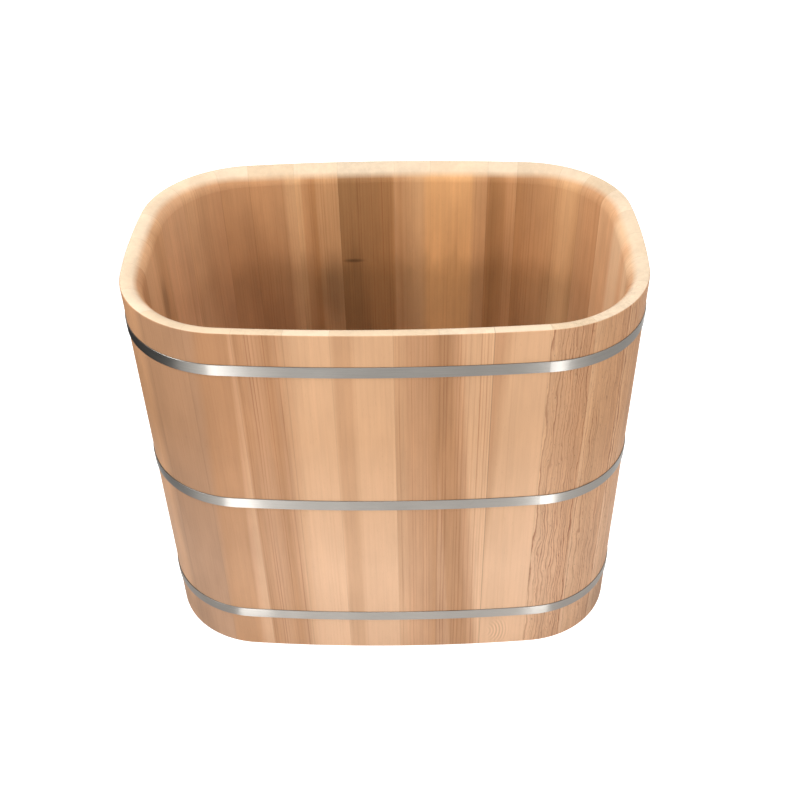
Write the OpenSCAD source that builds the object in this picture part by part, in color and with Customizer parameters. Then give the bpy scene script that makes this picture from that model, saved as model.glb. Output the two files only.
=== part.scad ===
// Japanese soaking tub: upright staves, drawn together by three flat hoops.
// Millimetres, +Z up. The origin is on the ground under the middle of the tub.
// X runs along the tub's length, and -Y is the long side that faces the front.

/* [Tub] */
// Height from the ground to the rim
tub_height = 875; // [840:5:950]
// How far every side leans in on its way from the rim down to the ground
wall_lean = 25; // [10:1:35]
// Radius of the rim's corners, over the outside
corner_r = 231.2; // [215:0.2:250]
// Distance of the corner arcs' centres from the tub's middle, along it
corner_x = 294.4; // [276:4.6:322]
// Distance of the corner arcs' centres from the tub's middle, across it
corner_y = 108.5; // [100:0.5:125]
// A long side bows out by corner_x divided by this whole number
side_bow_part = 23; // [20:1:26]
// A short end bows out by corner_y divided by this whole number
end_bow_part = 25; // [20:1:30]

/* [Staves] */
// Thickness of a stave
stave_thick = 42; // [40:1:46]
// Radius of the roll on the rim's inner edge
rim_roll = 36; // [20:1:36]
// Radius of the rim's outer edge
rim_edge = 3; // [1:0.5:4]
// Chamfer round the foot of each stave
foot_chamfer = 2; // [1:0.5:4]
// Width of the tongue on a stave's edge, through the stave's thickness
tongue_w = 12; // [8:1:14]
// How far the tongue stands out of the edge
tongue_depth = 6; // [4:1:8]
// How far below the rim the tongues stop
tongue_stop = 50; // [45:1:120]

/* [Hoops] */
// Width of each hoop
hoop_w = 25; // [20:1:30]
// Thickness of each hoop
hoop_t = 2; // [1.5:0.5:3]
// Height of the top hoop's middle
hoop_top_z = 789; // [720:1:800]
// Height of the middle hoop's middle
hoop_middle_z = 444; // [300:1:600]
// Height of the bottom hoop's middle
hoop_bottom_z = 105; // [90:1:180]
// How far a hoop's two ends overlap at the back
lap = 56; // [44:1:80]

/* [Floor] */
// Height of the floor's underside, which is the height of the bearers
floor_z = 90; // [80:5:100]
// Thickness of the floor boards
floor_thick = 30; // [28:1:34]
// Depth of the groove in the staves that holds the floor
croze_depth = 12; // [8:1:14]
// Width of the three inner floor boards
board_w = 120; // [110:1:125]
// Width of each bearer under the floor
bearer_w = 60; // [50:5:70]
// Distance from the middle bearer to the outer ones
bearer_pitch = 270; // [240:5:275]

/* [Drain] */
// Distance from the tub's middle to the drain
drain_x = 365; // [362:1:380]
// Radius of the drain's flange
flange_r = 36; // [35:0.5:38]
// Outer radius of the tail pipe
pipe_r = 19.05; // [18.5:0.05:19.1]
// How far the stopper lifts
stopper_lift = 10; // [6:1:12]

/* [Hidden] */
$fn = 64;
fine = 360;

wood_tones = [[0.90, 0.72, 0.56], [0.79, 0.60, 0.44], [0.69, 0.50, 0.36]];
floor_tone = [0.80, 0.62, 0.46];
bearer_tone = [0.74, 0.56, 0.41];
hoop_steel = [0.62, 0.61, 0.59];
rivet_steel = [0.70, 0.69, 0.67];
bright_chrome = [0.85, 0.85, 0.86];
plain_brass = [0.78, 0.64, 0.34];
black_rubber = [0.12, 0.12, 0.12];
grey_fibre = [0.55, 0.52, 0.47];

// Clearance between a tongue and its groove, and between the floor and its groove
slack = 0.3;
// Clearance between two staves that are drawn tight
joint_slack = 0.02;
// Clearance between a hoop and the staves
hoop_slack = 0.1;
// Clearance round a screw, a rivet or the stopper's post
hole_slack = 0.05;
// Clearance between two threaded pieces
thread_slack = 0.1;
// How far a shape reaches into another that it becomes one with
overlap = 2;

// ---- The rim's outline: four corner arcs and four flatter arcs, meeting without a kink

// The flatter arcs turn through 2 * atan(1 / part) on each side of their middle. Their
// sine and cosine are then fractions of whole numbers, which keeps every centre, radius
// and dividing line a short exact figure.
function bow_part(q) = q % 2 == 0 ? side_bow_part : end_bow_part;
function bow(q) = 2 * atan(1 / bow_part(q));
function bow_short(q) = bow_part(q);
function bow_long(q) = (pow(bow_part(q), 2) - 1) / 2;
function bow_slant(q) = (pow(bow_part(q), 2) + 1) / 2;

half_width = corner_r + corner_y + corner_x / side_bow_part;
half_length = corner_r + corner_x + corner_y / end_bow_part;
function half_span(q) = q % 2 == 0 ? half_width : half_length;

// Arcs are counted counter-clockwise from the front left corner, 0 to 7, and 8 is
// that corner again. Even ones are corners, and odd ones are sides and ends. Each is
// drawn in a frame turned by a multiple of 90 degrees.
last_arc = 8;
function is_corner(i) = i % 2 == 0;
function quarter(i) = floor(i / 2);
function arc_turn(i) = (is_corner(i) ? 180 : 270) + 90 * quarter(i);
function arc_from(i) = is_corner(i) ? bow(quarter(i) + 1) : -bow(quarter(i));
function arc_to(i) = is_corner(i) ? 90 - bow(quarter(i)) : bow(quarter(i));

// Corner centre, seen in the turned frame: ahead first, then to the left
function ahead(q) = q % 2 == 0 ? corner_y : corner_x;
function aside(q) = q % 2 == 0 ? corner_x : corner_y;
function arc_r(i) = is_corner(i)
    ? corner_r
    : corner_r + aside(quarter(i)) * bow_slant(quarter(i)) / bow_short(quarter(i));
function arc_centre(i) = is_corner(i)
    ? [aside(quarter(i)), ahead(quarter(i))]
    : [half_span(quarter(i)) - arc_r(i), 0];

// Lengths along the outline run counter-clockwise from the middle of the front. The
// outline of the foot has the same centres, with every radius less by the wall's lean.
function arc_length(i, inset = 0) = (arc_r(i) - inset) * (arc_to(i) - arc_from(i)) * PI / 180;
function arc_start(i, inset = 0) = i == 0
    ? -arc_length(1, inset) / 2 - arc_length(0, inset)
    : arc_start(i - 1, inset) + arc_length(i - 1, inset);
function round_length(inset = 0) = arc_start(last_arc, inset) - arc_start(0, inset);

// The arc that a length along the outline falls on, and the direction it faces there
function arc_at(s, inset = 0, i = 0) =
    i == last_arc || s < arc_start(i + 1, inset) ? i : arc_at(s, inset, i + 1);
function facing(s, inset = 0) =
    let (i = arc_at(s, inset))
    arc_from(i) + (s - arc_start(i, inset)) / (arc_r(i) - inset) * 180 / PI;
function point_at(s, inset = 0) =
    let (
        i = arc_at(s, inset),
        centre = arc_centre(i),
        x = centre[0] + (arc_r(i) - inset) * cos(facing(s, inset)),
        y = centre[1] + (arc_r(i) - inset) * sin(facing(s, inset))
    )
    [x * cos(arc_turn(i)) - y * sin(arc_turn(i)), x * sin(arc_turn(i)) + y * cos(arc_turn(i))];

// The part of the plan that an arc owns, from the corner centres outwards
module arc_field(i) {
    q = quarter(i);
    if (is_corner(i))
        translate(arc_centre(i))
            polygon([
                [0, 0],
                [bow_long(q + 1), bow_short(q + 1)],
                [bow_long(q + 1) + bow_short(q), bow_short(q + 1) + bow_long(q)],
                [bow_short(q), bow_long(q)]
            ]);
    else
        polygon([
            [ahead(q), -aside(q)],
            [ahead(q) + bow_long(q), -aside(q) - bow_short(q)],
            [ahead(q) + bow_long(q), aside(q) + bow_short(q)],
            [ahead(q), aside(q)]
        ]);
}

// Carries a section along one arc, between two distances along the rim. The section is
// drawn upright, with x = 0 on the rim's outer line and y as the height.
arc_spare = 3;
module along_arc(i, low, high) {
    degrees_per_mm = 180 / PI / arc_r(i);
    rotate([0, 0, arc_turn(i)])
        intersection() {
            translate(arc_centre(i))
                rotate_extrude(
                    angle = (high - low) * degrees_per_mm,
                    start = arc_from(i) + (low - arc_start(i)) * degrees_per_mm,
                    $fn = fine
                )
                    translate([arc_r(i), 0])
                        children();
            translate([0, 0, -1])
                linear_extrude(tub_height + 2)
                    arc_field(i);
        }
}

// The same from one arc to the next
module along_rim(from, to) {
    for (i = [0 : last_arc])
        if (from < arc_start(i + 1) && to > arc_start(i))
            along_arc(i, max(from, arc_start(i) - arc_spare), min(to, arc_start(i + 1) + arc_spare))
                children();
}

module all_round() {
    for (i = [0 : last_arc - 1])
        along_arc(i, arc_start(i) - arc_spare, arc_start(i + 1) + arc_spare)
            children();
}

// ---- The wall's section

wall_angle = atan(wall_lean / tub_height);
function outer_x(z) = -wall_lean * (1 - z / tub_height);
function inner_x(z) = outer_x(z) - stave_thick;
function middle_x(z) = outer_x(z) - stave_thick / 2;

floor_top = floor_z + floor_thick;
croze_x = inner_x(floor_z + floor_thick / 2) + croze_depth;

// What comes off an edge of the rim to leave it round: side is 1 on the outer
// edge and -1 on the inner one. The arc reaches past the face by a hair, which
// makes the two cross at a definite place.
module edge_waste(side, r) {
    spare = 5;
    hair = r / 1000;
    z = tub_height - r;
    face_x = side > 0 ? outer_x(z) : inner_x(z);
    x = face_x - side * (r - hair) / cos(wall_angle);
    difference() {
        translate([side > 0 ? x : x - r - spare, z])
            square([r + spare, r + spare]);
        translate([x, z]) circle(r, $fn = fine);
    }
}

module wall_section() {
    difference() {
        polygon([
            [outer_x(0) - foot_chamfer, 0],
            [outer_x(foot_chamfer), foot_chamfer],
            [outer_x(tub_height), tub_height],
            [inner_x(tub_height), tub_height],
            [inner_x(foot_chamfer), foot_chamfer],
            [inner_x(0) + foot_chamfer, 0]
        ]);
        edge_waste(1, rim_edge);
        edge_waste(-1, rim_roll);
        translate([croze_x - stave_thick, floor_z]) square([stave_thick, floor_thick]);
    }
}

// The tongue's section, and with a margin the groove's, which is open at the foot
module tongue_section(margin) {
    half = tongue_w / 2 + margin;
    top = tub_height - tongue_stop + margin;
    polygon([
        [middle_x(-margin) - half, -margin],
        [middle_x(-margin) + half, -margin],
        [middle_x(top) + half, top],
        [middle_x(top) - half, top]
    ]);
}

// ---- Staves

// Where the first joint is, along the rim from the middle of the front
first_joint = -377;
// Faces of the staves at the rim, sawn to random widths: seven on the front, seven
// round the right end, twelve along the back and five round the left end
stave_widths = [
    95, 97, 87, 118, 85, 103, 106,
    89, 92, 95, 95, 95, 95, 93,
    85, 75, 108, 67, 132, 83, 130, 100, 105, 80, 122, 128,
    102, 101, 101, 101, 102
];
// Which tone of wood each of them is cut from
stave_tones = [
    1, 1, 2, 0, 0, 1, 0,
    1, 1, 1, 0, 1, 0, 1,
    0, 1, 1, 2, 0, 1, 2, 1, 0, 1, 1, 0,
    1, 1, 2, 1, 1
];
stave_count = len(stave_widths);
function widths_to(n) = n == 0 ? 0 : widths_to(n - 1) + stave_widths[n - 1];

// The widths are drawn out or taken in alike, so that they close the round. Every stave
// tapers by the same part of its width from the rim to the foot.
width_fit = round_length() / widths_to(stave_count);
foot_fit = round_length(wall_lean) / round_length();
function joint_at(n) = first_joint + widths_to(n) * width_fit;
function foot_joint_at(n) = joint_at(n) * foot_fit;
function stave_name(n) = str("stave_", n < 10 ? "0" : "", n);

// Length along the rim that is straight above a joint's foot
function above_foot(n) =
    let (s = foot_joint_at(n), i = arc_at(s, wall_lean))
    arc_start(i) + (s - arc_start(i, wall_lean)) * arc_r(i) / (arc_r(i) - wall_lean);

// Between two joints, where both reach furthest
function reach_from(n) = min(joint_at(n), above_foot(n)) - arc_spare;
function reach_to(n) = max(joint_at(n), above_foot(n)) + arc_spare;

// Lays its children on a joint: x leads out of the wall, y to the next stave, and z up
// along the joint, from the ground
module on_joint(n) {
    s = joint_at(n);
    turn = arc_turn(arc_at(s)) + facing(s);
    top = point_at(s);
    foot = point_at(foot_joint_at(n), wall_lean);
    shift = (foot[1] - top[1]) * cos(turn) - (foot[0] - top[0]) * sin(turn);
    translate([top[0], top[1], tub_height])
        rotate([0, 0, turn])
            rotate([atan(shift / tub_height), 0, 0])
                translate([0, 0, -tub_height])
                    children();
}

// A slab along a joint, from low to high across it
module joint_slab(n, low, high) {
    depth = 3 * stave_thick + wall_lean;
    spare = 20;
    on_joint(n)
        translate([-depth, low, -spare])
            cube([1.5 * depth, high - low, tub_height + 2 * spare]);
}

// The wall from one joint to the next
module between_joints(n) {
    half = joint_slack / 2;
    room = 3 * max(stave_widths);
    difference() {
        along_rim(reach_from(n - 1), reach_to(n)) wall_section();
        joint_slab(n - 1, -room, half);
        joint_slab(n, -half, room);
    }
}

module joint_strip(n, low, high, margin) {
    intersection() {
        along_rim(reach_from(n) - tongue_depth, reach_to(n) + tongue_depth) tongue_section(margin);
        joint_slab(n, low, high);
    }
}

module stave(n) {
    color(wood_tones[stave_tones[n - 1]])
        difference() {
            union() {
                between_joints(n);
                joint_strip(n, -overlap, tongue_depth, 0);
            }
            joint_strip(n - 1, -overlap, tongue_depth + slack, slack);
        }
}

// ---- Hoops: each is one strip, rolled to the wall's lean, with its ends lapped at
// the middle of the back and held by two rivets

hoop_edge = 0.4;
hoop_heights = [hoop_bottom_z, hoop_middle_z, hoop_top_z];
rivet_r = 2.5;
rivet_head_r = 5;
rivet_head_h = 2;
rivet_pitch = 28;

module hoop_section(z) {
    low = z - hoop_w / 2;
    high = z + hoop_w / 2;
    inside = hoop_slack;
    outside = hoop_slack + hoop_t;
    polygon([
        [outer_x(low) + inside, low],
        [outer_x(low) + outside - hoop_edge, low],
        [outer_x(low) + outside, low + hoop_edge],
        [outer_x(high) + outside, high - hoop_edge],
        [outer_x(high) + outside - hoop_edge, high],
        [outer_x(high) + inside, high]
    ]);
}

// Stands its children on the wall's face at the middle of the back: y leads away
// from the wood and z up along it
module on_back(z) {
    translate([0, half_width + outer_x(z), z])
        rotate([-wall_angle, 0, 0])
            children();
}

// The end that lies on top, with the step down into the strip
module hoop_lap(z) {
    step = 10;
    trim = 1;
    buried = hoop_slack + hoop_t / 2;
    top = hoop_slack + 2 * hoop_t;
    on_back(z)
        translate([0, 0, -hoop_w / 2 + trim / 2])
            linear_extrude(hoop_w - trim)
                polygon([
                    [-lap / 2, buried],
                    [-lap / 2, top - hoop_edge],
                    [-lap / 2 + hoop_edge, top],
                    [lap / 2, top],
                    [lap / 2 + step, hoop_slack + 0.8 * hoop_t],
                    [lap / 2 + step, buried]
                ]);
}

module at_rivets(z) {
    for (side = [-1, 1])
        on_back(z)
            translate([side * rivet_pitch / 2, 0, 0])
                rotate([-90, 0, 0])
                    children();
}

module hoop(z) {
    color(hoop_steel)
        difference() {
            union() {
                all_round() hoop_section(z);
                hoop_lap(z);
            }
            at_rivets(z) cylinder(r = rivet_r + hole_slack, h = 6 * hoop_t, center = true);
        }
}

module hoop_top() { hoop(hoop_top_z); }
module hoop_middle() { hoop(hoop_middle_z); }
module hoop_bottom() { hoop(hoop_bottom_z); }

// A round cap of a sphere, standing on z = 0
module dome(r, h) {
    sphere_r = (r * r + h * h) / (2 * h);
    rotate_extrude()
        intersection() {
            translate([0, h - sphere_r]) circle(sphere_r, $fn = fine);
            square([r, h]);
        }
}

module hoop_rivets() {
    seat = hoop_slack + 2 * hoop_t;
    color(rivet_steel)
        for (z = hoop_heights)
            at_rivets(z)
                union() {
                    translate([0, 0, hoop_slack]) cylinder(r = rivet_r, h = 2 * hoop_t);
                    translate([0, 0, seat]) dome(rivet_head_r, rivet_head_h);
                }
}

// ---- Floor: five boards, tongued together, held in the staves' groove

board_count = 5;
board_tongue_w = 8;
board_tongue_depth = 6;
floor_x = croze_x - slack;

// The whole floor in one piece, before it is cut into boards
module floor_plate() {
    translate([0, 0, floor_z]) {
        for (i = [0 : last_arc - 1])
            rotate([0, 0, arc_turn(i)])
                intersection() {
                    translate(arc_centre(i))
                        cylinder(r = arc_r(i) + floor_x, h = floor_thick, $fn = fine);
                    linear_extrude(floor_thick) arc_field(i);
                }
        translate([-corner_x, -corner_y, 0])
            cube([2 * corner_x, 2 * corner_y, floor_thick]);
    }
}

function board_edge(n) = (n - board_count / 2) * board_w;

// Screws stand in two rows along each bearer, one to a board, in a zigzag
screw_r = 2.5;
screw_head_r = 5;
screw_head_h = 3.5;
screw_hole_depth = 45;
screw_length = 65;
screw_offset = 14;
bearer_places = [-bearer_pitch, 0, bearer_pitch];
module at_screws(places) {
    for (x = places)
        for (n = [1 : board_count])
            translate([x + (n % 2 == 0 ? -1 : 1) * screw_offset, board_edge(n) - board_w / 2, 0])
                children();
}

flange_t = 4;
gasket_t = 2;
drain_hole_r = 25.5;

module floor_board(n) {
    length = 2 * half_length;
    first = n == 1;
    last = n == board_count;
    low = first ? -half_width : board_edge(n - 1);
    high = last ? half_width : board_edge(n);
    tongue_z = floor_z + (floor_thick - board_tongue_w) / 2;
    color(floor_tone)
        difference() {
            intersection() {
                floor_plate();
                union() {
                    translate([-length / 2, low, 0])
                        cube([length, high - low, tub_height]);
                    if (!last)
                        translate([-length / 2, high - overlap, tongue_z])
                            cube([length, overlap + board_tongue_depth, board_tongue_w]);
                }
            }
            if (!first)
                translate([-length / 2, low - overlap, tongue_z - slack])
                    cube([
                        length,
                        overlap + board_tongue_depth + slack,
                        board_tongue_w + 2 * slack
                    ]);
            at_screws(bearer_places)
                translate([0, 0, floor_z - overlap])
                    cylinder(
                        r = screw_r + hole_slack,
                        h = screw_hole_depth + screw_length - floor_z + overlap + slack
                    );
            translate([drain_x, 0, 0]) {
                cylinder(r = drain_hole_r, h = tub_height);
                translate([0, 0, floor_top - flange_t - gasket_t])
                    cylinder(r = flange_r + slack, h = floor_thick);
            }
        }
}

// ---- Bearers under the floor, with their feet level with the staves' feet

bearer_length = 2 * (half_width + inner_x(0)) - 31;
bearer_chamfer = 3;

module bearer(x) {
    half = bearer_w / 2;
    color(bearer_tone)
        difference() {
            translate([x, bearer_length / 2, 0])
                rotate([90, 0, 0])
                    linear_extrude(bearer_length)
                        polygon([
                            [-half + bearer_chamfer, 0],
                            [half - bearer_chamfer, 0],
                            [half, bearer_chamfer],
                            [half, floor_z],
                            [-half, floor_z],
                            [-half, bearer_chamfer]
                        ]);
            at_screws([x]) {
                translate([0, 0, -1])
                    cylinder(r = screw_head_r + 2, h = screw_hole_depth + 1);
                cylinder(r = screw_r + hole_slack, h = floor_z + 1);
            }
        }
}

module bearer_left() { bearer(-bearer_pitch); }
module bearer_middle() { bearer(0); }
module bearer_right() { bearer(bearer_pitch); }

module bearer_screws() {
    color(rivet_steel)
        at_screws(bearer_places)
            union() {
                translate([0, 0, screw_hole_depth])
                    cylinder(r = screw_r, h = screw_length);
                translate([0, 0, screw_hole_depth])
                    mirror([0, 0, 1])
                        dome(screw_head_r, screw_head_h);
            }
}

// ---- Drain: a flanged strainer body through the floor, clamped by a locknut, with a
// tail pipe below it and a stopper that lifts on a post. A bead round the tail pipe is
// the stop for what is pushed onto it from below.

body_r = 23.8;
body_bore_r = 20;
body_foot_z = 50;
seat_r = 26;
seat_depth = 8;
boss_r = 6;
boss_z = 92;
boss_h = 6;
arm_w = 3;
arm_h = 4;
arm_count = 4;
spigot_r = 3;
washer_t = 3;
fibre_t = 2;
locknut_h = 10;
locknut_r = 36;
slip_h = 6;
coupling_top = 64;
coupling_foot = 38;
coupling_r = 30;
coupling_lip = 3;
pipe_bore_r = 17.6;
pipe_foot = 8;
pipe_top = 66;
bead_z = 35;
bead_r = 20.5;
bead_crest = 0.5;
bead_half = 2;
fibre_z = floor_z - washer_t - fibre_t;

module at_drain() {
    translate([drain_x, 0, 0]) children();
}

// A ring on the drain's axis, between two radii and two heights
module ring(inner, outer, low, high) {
    at_drain()
        rotate_extrude()
            translate([inner, low])
                square([outer - inner, high - low]);
}

module drain_body() {
    color(bright_chrome)
        at_drain()
            union() {
                rotate_extrude()
                    polygon([
                        [body_bore_r, body_foot_z],
                        [body_r, body_foot_z],
                        [body_r, floor_top - flange_t],
                        [flange_r, floor_top - flange_t],
                        [flange_r, floor_top - 1],
                        [flange_r - 1, floor_top],
                        [seat_r, floor_top],
                        [body_bore_r, floor_top - seat_depth]
                    ]);
                translate([0, 0, boss_z])
                    difference() {
                        cylinder(r = boss_r, h = boss_h);
                        translate([0, 0, -1])
                            cylinder(r = spigot_r + hole_slack, h = boss_h + 2);
                    }
                for (n = [0 : arm_count - 1])
                    rotate([0, 0, 45 + n * 360 / arm_count])
                        translate([boss_r - 1, -arm_w / 2, boss_z + (boss_h - arm_h) / 2])
                            cube([body_bore_r - boss_r + 2, arm_w, arm_h]);
            }
}

module drain_gasket() {
    color(black_rubber)
        ring(drain_hole_r, flange_r - 1, floor_top - flange_t - gasket_t, floor_top - flange_t);
}

module drain_washer() {
    color(black_rubber)
        ring(body_r + thread_slack, locknut_r, floor_z - washer_t, floor_z);
}

module drain_fibre_ring() {
    color(grey_fibre)
        ring(body_r + thread_slack, locknut_r - 1, fibre_z, fibre_z + fibre_t);
}

module drain_locknut() {
    color(plain_brass)
        at_drain()
            translate([0, 0, fibre_z - locknut_h])
                difference() {
                    cylinder(r = locknut_r, h = locknut_h, $fn = 6);
                    translate([0, 0, -1])
                        cylinder(r = body_r + thread_slack, h = locknut_h + 2);
                }
}

module drain_tail_pipe() {
    color(bright_chrome)
        at_drain()
            rotate_extrude()
                polygon([
                    [pipe_bore_r, pipe_foot],
                    [pipe_r, pipe_foot],
                    [pipe_r, bead_z - bead_half],
                    [bead_r, bead_z - bead_crest],
                    [bead_r, bead_z + bead_crest],
                    [pipe_r, bead_z + bead_half],
                    [pipe_r, pipe_top],
                    [pipe_bore_r, pipe_top]
                ]);
}

module drain_slip_ring() {
    color(black_rubber)
        ring(pipe_r + hole_slack, body_r - 0.5, body_foot_z - slip_h, body_foot_z);
}

module drain_coupling_nut() {
    flats = 12;
    flat_depth = 1.5;
    color(bright_chrome)
        at_drain()
            difference() {
                translate([0, 0, coupling_foot])
                    cylinder(r = coupling_r, h = coupling_top - coupling_foot);
                translate([0, 0, coupling_foot + coupling_lip])
                    cylinder(r = body_r + thread_slack, h = coupling_top);
                cylinder(r = pipe_r + slack, h = coupling_top);
                for (n = [0 : flats - 1])
                    rotate([0, 0, n * 360 / flats])
                        translate([coupling_r - flat_depth, -arm_w / 2, coupling_foot + coupling_lip])
                            cube([2 * flat_depth, arm_w, coupling_top]);
            }
}

// ---- Stopper: the cap's sleeve slides on the post, which is screwed into the strainer

post_r = 4;
post_top = floor_top;
sleeve_r = 7;
sleeve_hold = 9;
sleeve_foot = post_top - stopper_lift - sleeve_hold;
sleeve_bore_top = post_top + 2;
cap_r = 30;
cap_foot = floor_top + 0.5;
cap_edge = 1.2;
cap_h = 5.5;
knob_neck_r = 5;
knob_r = 9;
knob_neck_h = 6;
knob_h = 14;
seal_drop = 6;

module stopper_post() {
    color(plain_brass)
        at_drain()
            union() {
                translate([0, 0, boss_z])
                    cylinder(r = spigot_r, h = boss_h + 1);
                translate([0, 0, boss_z + boss_h])
                    cylinder(r = post_r, h = post_top - boss_z - boss_h);
            }
}

module stopper_cap() {
    color(bright_chrome)
        at_drain()
            difference() {
                union() {
                    translate([0, 0, cap_foot])
                        cylinder(r = cap_r, h = cap_edge);
                    translate([0, 0, cap_foot + cap_edge])
                        dome(cap_r, cap_h - cap_edge);
                    translate([0, 0, sleeve_foot])
                        cylinder(r = sleeve_r, h = cap_foot - sleeve_foot + 1);
                }
                translate([0, 0, sleeve_foot - 1])
                    cylinder(r = post_r + hole_slack, h = sleeve_bore_top - sleeve_foot + 1);
                translate([0, 0, cap_foot + cap_h - 1])
                    cylinder(r = knob_neck_r + hole_slack, h = cap_h);
            }
}

module stopper_seal() {
    seat_slope = (seat_r - body_bore_r) / seat_depth;
    low_r = seat_r - seal_drop * seat_slope - slack;
    color(black_rubber)
        at_drain()
            rotate_extrude()
                polygon([
                    [sleeve_r + hole_slack, floor_top - seal_drop],
                    [low_r, floor_top - seal_drop],
                    [seat_r - slack, floor_top],
                    [seat_r - slack, cap_foot],
                    [sleeve_r + hole_slack, cap_foot]
                ]);
}

module stopper_knob() {
    knob_z = cap_foot + cap_h - 1;
    rim_h = knob_h - knob_neck_h - 3;
    color(bright_chrome)
        at_drain()
            translate([0, 0, knob_z])
                union() {
                    cylinder(r = knob_neck_r, h = knob_neck_h + 1);
                    translate([0, 0, knob_neck_h])
                        cylinder(r1 = knob_neck_r + 1, r2 = knob_r, h = rim_h);
                    translate([0, 0, knob_neck_h + rim_h])
                        dome(knob_r, knob_h - knob_neck_h - rim_h);
                }
}

// ---- Nodes

for (n = [1 : stave_count])
    stave(n);
hoop_top();
hoop_middle();
hoop_bottom();
hoop_rivets();
for (n = [1 : board_count])
    floor_board(n);
bearer_left();
bearer_middle();
bearer_right();
bearer_screws();
drain_body();
drain_gasket();
drain_washer();
drain_fibre_ring();
drain_locknut();
drain_tail_pipe();
drain_slip_ring();
drain_coupling_nut();
stopper_post();
stopper_cap();
stopper_seal();
stopper_knob();
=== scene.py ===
import bpy
import bmesh
import math
import random
from mathutils import Euler, Matrix, Vector


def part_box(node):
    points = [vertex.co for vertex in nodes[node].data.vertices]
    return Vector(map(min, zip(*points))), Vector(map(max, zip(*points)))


# A Japanese soaking tub of upright staves, drawn together by three steel hoops.
# Metres, +Z up, the origin on the ground under the middle of the tub.

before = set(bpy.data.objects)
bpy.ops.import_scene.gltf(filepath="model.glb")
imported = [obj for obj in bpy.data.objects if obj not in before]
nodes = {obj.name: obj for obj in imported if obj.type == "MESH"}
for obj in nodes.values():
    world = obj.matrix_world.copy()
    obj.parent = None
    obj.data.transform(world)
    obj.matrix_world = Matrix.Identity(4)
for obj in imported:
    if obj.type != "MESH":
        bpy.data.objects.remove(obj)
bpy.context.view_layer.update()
print("frame loaded with", len(nodes), "nodes")


# Colours are written as sRGB hex and turned linear here
def hexColour(text):
    channels = [int(text[i:i + 2], 16) / 255 for i in (1, 3, 5)]
    return tuple(c / 12.92 if c < 0.0405 else ((c + 0.055) / 1.055) ** 2.4 for c in channels) + (1.0,)


# Adds one node: a setting is the name of a property or of an input, or an input's number
def addNode(tree, kind, settings, links):
    node = tree.nodes.new("ShaderNode" + kind)
    for key, value in settings.items():
        if isinstance(key, str) and hasattr(node, key):
            setattr(node, key, value)
        else:
            node.inputs[key].default_value = value
    for key, source in links.items():
        tree.links.new(source, node.inputs[key])
    return node


def startMaterial(name, settings):
    material = bpy.data.materials.new(name)
    material.use_nodes = True
    tree = material.node_tree
    tree.nodes.clear()
    shader = addNode(tree, "BsdfPrincipled", settings, {})
    addNode(tree, "OutputMaterial", {}, {"Surface": shader.outputs[0]})
    return material, tree, shader


def fillRamp(ramp, stops, interpolation="EASE"):
    ramp.interpolation = interpolation
    while len(ramp.elements) < len(stops):
        ramp.elements.new(0.5)
    for element, (place, colour) in zip(ramp.elements, sorted(stops)):
        element.position = place
        element.color = colour


def dress(node, material):
    slots = nodes[node].data.materials
    slots.clear()
    slots.append(material)


# The rim's outline and the joints between the staves, in millimetres
outline = {
    "cornerRadius": 231.2, "cornerX": 294.4, "cornerY": 108.5,
    "sideBow": 23, "endBow": 25,  # half a side's length over how far it bows out
    "height": 875, "lean": 25,    # and how far the foot stands inside the rim
    "firstJoint": -377,           # along the rim from the middle of the front
    "widths": [95, 97, 87, 118, 85, 103, 106, 89, 92, 95, 95, 95, 95, 93, 85, 75,
               108, 67, 132, 83, 130, 100, 105, 80, 122, 128, 102, 101, 101, 101, 102],
}


# The arcs of the outline, counter-clockwise from the middle of the front: centre, radius,
# and the directions that they face at their start and end
def outlineArcs(inset):
    r, x, y = outline["cornerRadius"], outline["cornerX"], outline["cornerY"]
    p, q = outline["sideBow"], outline["endBow"]
    side, end = 2 * math.atan(1 / p), 2 * math.atan(1 / q)
    sideRadius, endRadius = r + x * (p * p + 1) / (2 * p), r + y * (q * q + 1) / (2 * q)
    sideCentre, endCentre = sideRadius - (r + y + x / p), endRadius - (r + x + y / q)
    quarter = math.pi / 2
    arcs = [
        (0, sideCentre, sideRadius, -quarter, side - quarter),
        (x, -y, r, side - quarter, -end),
        (-endCentre, 0, endRadius, -end, end),
        (x, y, r, end, quarter - side),
        (0, -sideCentre, sideRadius, quarter - side, quarter + side),
        (-x, y, r, quarter + side, 2 * quarter - end),
        (endCentre, 0, endRadius, 2 * quarter - end, 2 * quarter + end),
        (-x, -y, r, 2 * quarter + end, 3 * quarter - side),
        (0, sideCentre, sideRadius, 3 * quarter - side, 3 * quarter),
    ]
    return [(a[0], a[1], a[2] - inset, a[3], a[4]) for a in arcs]


def roundLength(inset):
    return sum(a[2] * (a[4] - a[3]) for a in outlineArcs(inset))


# The point at a length along the outline, and the direction it faces
def outlinePoint(length, inset):
    length = length % roundLength(inset)
    for x, y, r, low, high in outlineArcs(inset):
        if length <= r * (high - low):
            facing = low + length / r
            return Vector((x + r * math.cos(facing), y + r * math.sin(facing), 0)), facing
        length -= r * (high - low)


# What the widths are multiplied by to fill the rim, and lengths on the rim to fit the foot
rimFit = roundLength(0) / sum(outline["widths"])
footFit = roundLength(outline["lean"]) / roundLength(0)


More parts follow.
